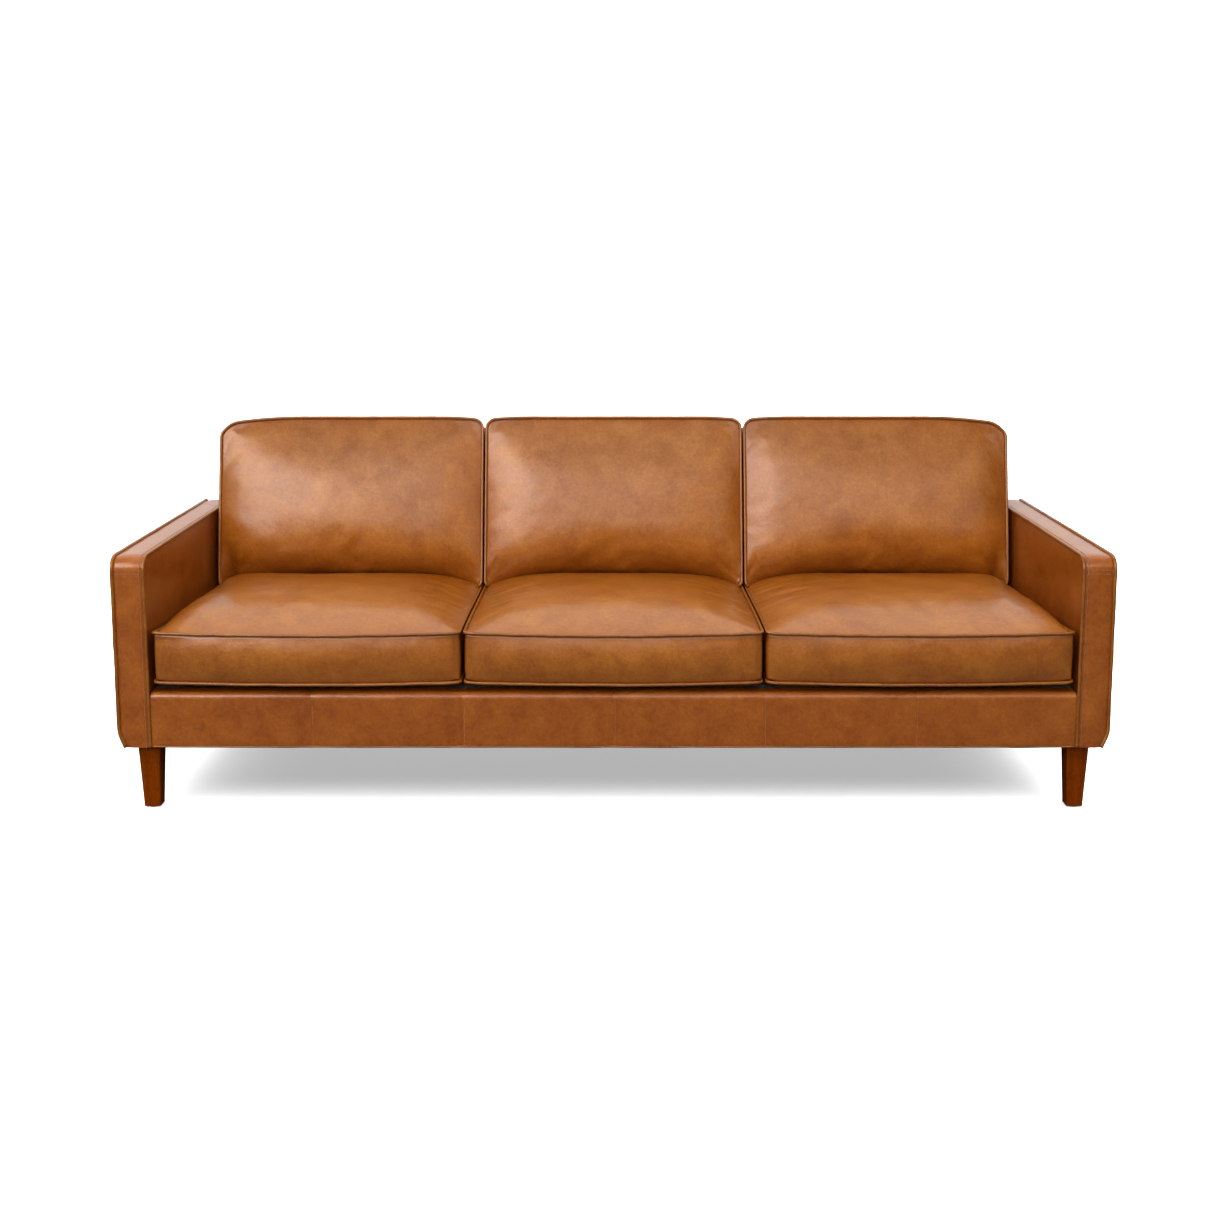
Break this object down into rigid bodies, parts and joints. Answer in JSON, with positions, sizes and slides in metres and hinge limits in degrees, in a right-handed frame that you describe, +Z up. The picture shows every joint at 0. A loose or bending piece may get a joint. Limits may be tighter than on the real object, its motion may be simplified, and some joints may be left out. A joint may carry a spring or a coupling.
{
  "type": "sofa",
  "caption": "Long low leather sofa with slim square panel arms, loose box seat and back cushions with piped edges, and short square tapered wooden legs.",
  "frame": {"origin": "centre of the footprint on the floor, under the middle of the sofa", "axes": "+X to the right seen from the front, +Y to the back, +Z up"},
  "size_m": [2.25, 0.86, 0.8184],
  "materials": {
    "leather": "aniline leather, satin, cognac tan",
    "piping": "aniline leather piping, satin, cognac tan",
    "leg_wood": "stained hardwood, satin lacquer",
    "frame_timber": "raw sawn timber",
    "foam": "cream upholstery foam",
    "padding": "felt and fibre wadding",
    "lining_cloth": "black woven lining cloth",
    "webbing": "elastic jute-coloured webbing",
    "spring_steel": "drawn spring wire",
    "fittings_steel": "zinc plated steel",
    "glide_plastic": "black nylon glide"
  },
  "bodies": {
    "frame": {"front_rail": "frame_timber", "rear_rail": "frame_timber", "left_divider_rail": "frame_timber", "right_divider_rail": "frame_timber", "centre_rail": "frame_timber", "corner_blocks": "frame_timber", "back_top_rail": "frame_timber", "back_lower_rail": "frame_timber", "left_back_post": "frame_timber", "right_back_post": "frame_timber", "centre_back_posts": "frame_timber", "left_arm_bottom_rail": "frame_timber", "left_arm_top_rail": "frame_timber", "left_arm_front_post": "frame_timber", "left_arm_rear_post": "frame_timber", "left_arm_outer_panel": "leather", "left_arm_inner_panel": "leather", "left_arm_border": "leather", "left_arm_piping": "piping", "left_arm_pad": "padding", "right_arm_bottom_rail": "frame_timber", "right_arm_top_rail": "frame_timber", "right_arm_front_post": "frame_timber", "right_arm_rear_post": "frame_timber", "right_arm_outer_panel": "leather", "right_arm_inner_panel": "leather", "right_arm_border": "leather", "right_arm_piping": "piping", "right_arm_pad": "padding", "seat_springs": "spring_steel", "spring_clips": "spring_steel", "back_webbing": "webbing", "seat_deck_pad": "padding", "front_rail_pad": "padding", "back_pad": "padding", "seat_deck_cloth": "lining_cloth", "dust_cover": "lining_cloth", "front_rail_cover": "leather", "inside_back_cover": "leather", "outside_back_panel": "leather", "front_left_leg": "leg_wood", "front_right_leg": "leg_wood", "rear_left_leg": "leg_wood", "rear_right_leg": "leg_wood", "centre_support_leg": "leg_wood", "leg_bolts": "fittings_steel", "leg_plates": "fittings_steel", "leg_glides": "glide_plastic"},
    "seat_cushion_left": {"seat_cushion_left_cover": "leather", "seat_cushion_left_core": "foam"},
    "seat_cushion_centre": {"seat_cushion_centre_cover": "leather", "seat_cushion_centre_core": "foam"},
    "seat_cushion_right": {"seat_cushion_right_cover": "leather", "seat_cushion_right_core": "foam"},
    "back_cushion_left": {"back_cushion_left_cover": "leather", "back_cushion_left_core": "foam"},
    "back_cushion_centre": {"back_cushion_centre_cover": "leather", "back_cushion_centre_core": "foam"},
    "back_cushion_right": {"back_cushion_right_cover": "leather", "back_cushion_right_core": "foam"}
  },
  "joints": [
    {"name": "seat_cushion_left_slide", "type": "slide", "parent": "frame", "child": "seat_cushion_left", "axis": [0, -1, 0], "range_m": [0, 0.75]},
    {"name": "seat_cushion_centre_slide", "type": "slide", "parent": "frame", "child": "seat_cushion_centre", "axis": [0, -1, 0], "range_m": [0, 0.75]},
    {"name": "seat_cushion_right_slide", "type": "slide", "parent": "frame", "child": "seat_cushion_right", "axis": [0, -1, 0], "range_m": [0, 0.75]},
    {"name": "back_cushion_left_lift", "type": "slide", "parent": "frame", "child": "back_cushion_left", "axis": [0, 0, 1], "range_m": [0, 0.4]},
    {"name": "back_cushion_centre_lift", "type": "slide", "parent": "frame", "child": "back_cushion_centre", "axis": [0, 0, 1], "range_m": [0, 0.4]},
    {"name": "back_cushion_right_lift", "type": "slide", "parent": "frame", "child": "back_cushion_right", "axis": [0, 0, 1], "range_m": [0, 0.4]}
  ]
}
